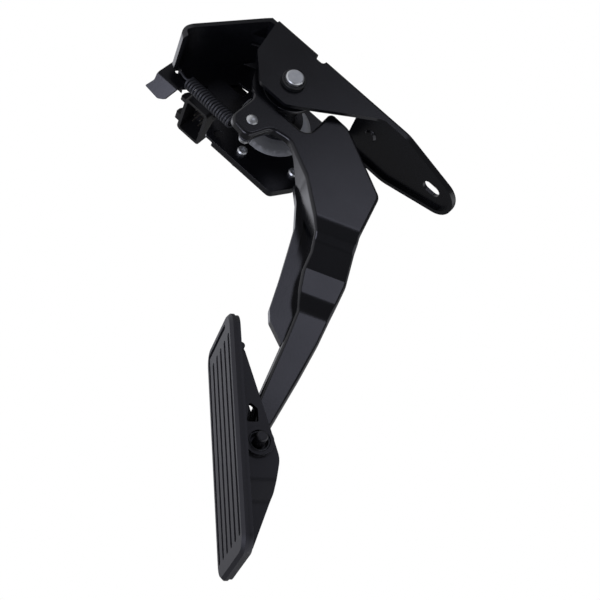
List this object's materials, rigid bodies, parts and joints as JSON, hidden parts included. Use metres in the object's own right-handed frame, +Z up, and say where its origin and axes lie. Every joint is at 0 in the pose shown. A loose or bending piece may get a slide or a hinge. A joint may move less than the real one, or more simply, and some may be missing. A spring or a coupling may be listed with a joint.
{
  "type": "electronic accelerator pedal sensor",
  "caption": "Suspended accelerator pedal: folded steel firewall bracket, spring-returned pressed arm, tilting ribbed pad and a rotary position sensor with a plug socket.",
  "frame": {"origin": "on the mounting face, midway between the two mounting slots", "axes": "+X into the firewall, +Y across the car from the side plate to the sensor, +Z up along the firewall"},
  "size_m": [0.2471, 0.082, 0.2327],
  "materials": {
    "bracket_coat": "satin black coat on pressed steel sheet",
    "arm_coat": "satin black coat on pressed steel",
    "stop_rubber": "matt",
    "bush_plastic": "smooth moulded",
    "cap_metal": "turned, satin",
    "zinc_steel": "bright zinc plate",
    "spring_steel": "dark drawn wire",
    "sensor_plastic": "moulded black",
    "terminal_metal": "tinned",
    "rotor_plastic": "moulded",
    "magnet": "sintered",
    "board": "solder resist",
    "pin_steel": "dark plated",
    "pad_plastic": "moulded black",
    "pad_rubber": "matt, worn grey at the edges"
  },
  "bodies": {
    "bracket": {"mounting_bracket": "bracket_coat", "idle_stop": "stop_rubber", "near_bush": "bush_plastic", "sensor_plate": "bracket_coat", "bearing_cap": "cap_metal", "far_bush": "bush_plastic", "return_spring": "spring_steel", "sensor_housing": "sensor_plastic", "terminal_pins": "terminal_metal", "sensor_board": "board", "sensor_cover": "sensor_plastic", "sensor_screws": "zinc_steel"},
    "pedal": {"pivot_shaft": "zinc_steel", "hub_spool": "arm_coat", "pedal_arm": "arm_coat", "spring_pin": "zinc_steel", "sensor_rotor": "rotor_plastic", "rotor_magnet": "magnet", "pad_pin": "pin_steel", "pad_clip": "spring_steel"},
    "pad": {"pad_carrier": "pad_plastic", "pad_tread": "pad_rubber", "pad_spring": "spring_steel"}
  },
  "joints": [
    {"name": "pedal_swing", "type": "hinge", "parent": "bracket", "child": "pedal", "pos_m": [-0.027, 0, 0.0364], "axis": [0, -1, 0], "range_deg": [0, 20], "stiffness_Nm_per_rad": 4, "springref_deg": -45.84, "deforming": ["return_spring"]},
    {"name": "pad_tilt", "type": "hinge", "parent": "pedal", "child": "pad", "pos_m": [-0.19529, 0.0035, -0.09045], "axis": [0, 1, 0], "range_deg": [-8, 8], "stiffness_Nm_per_rad": 1.5}
  ]
}
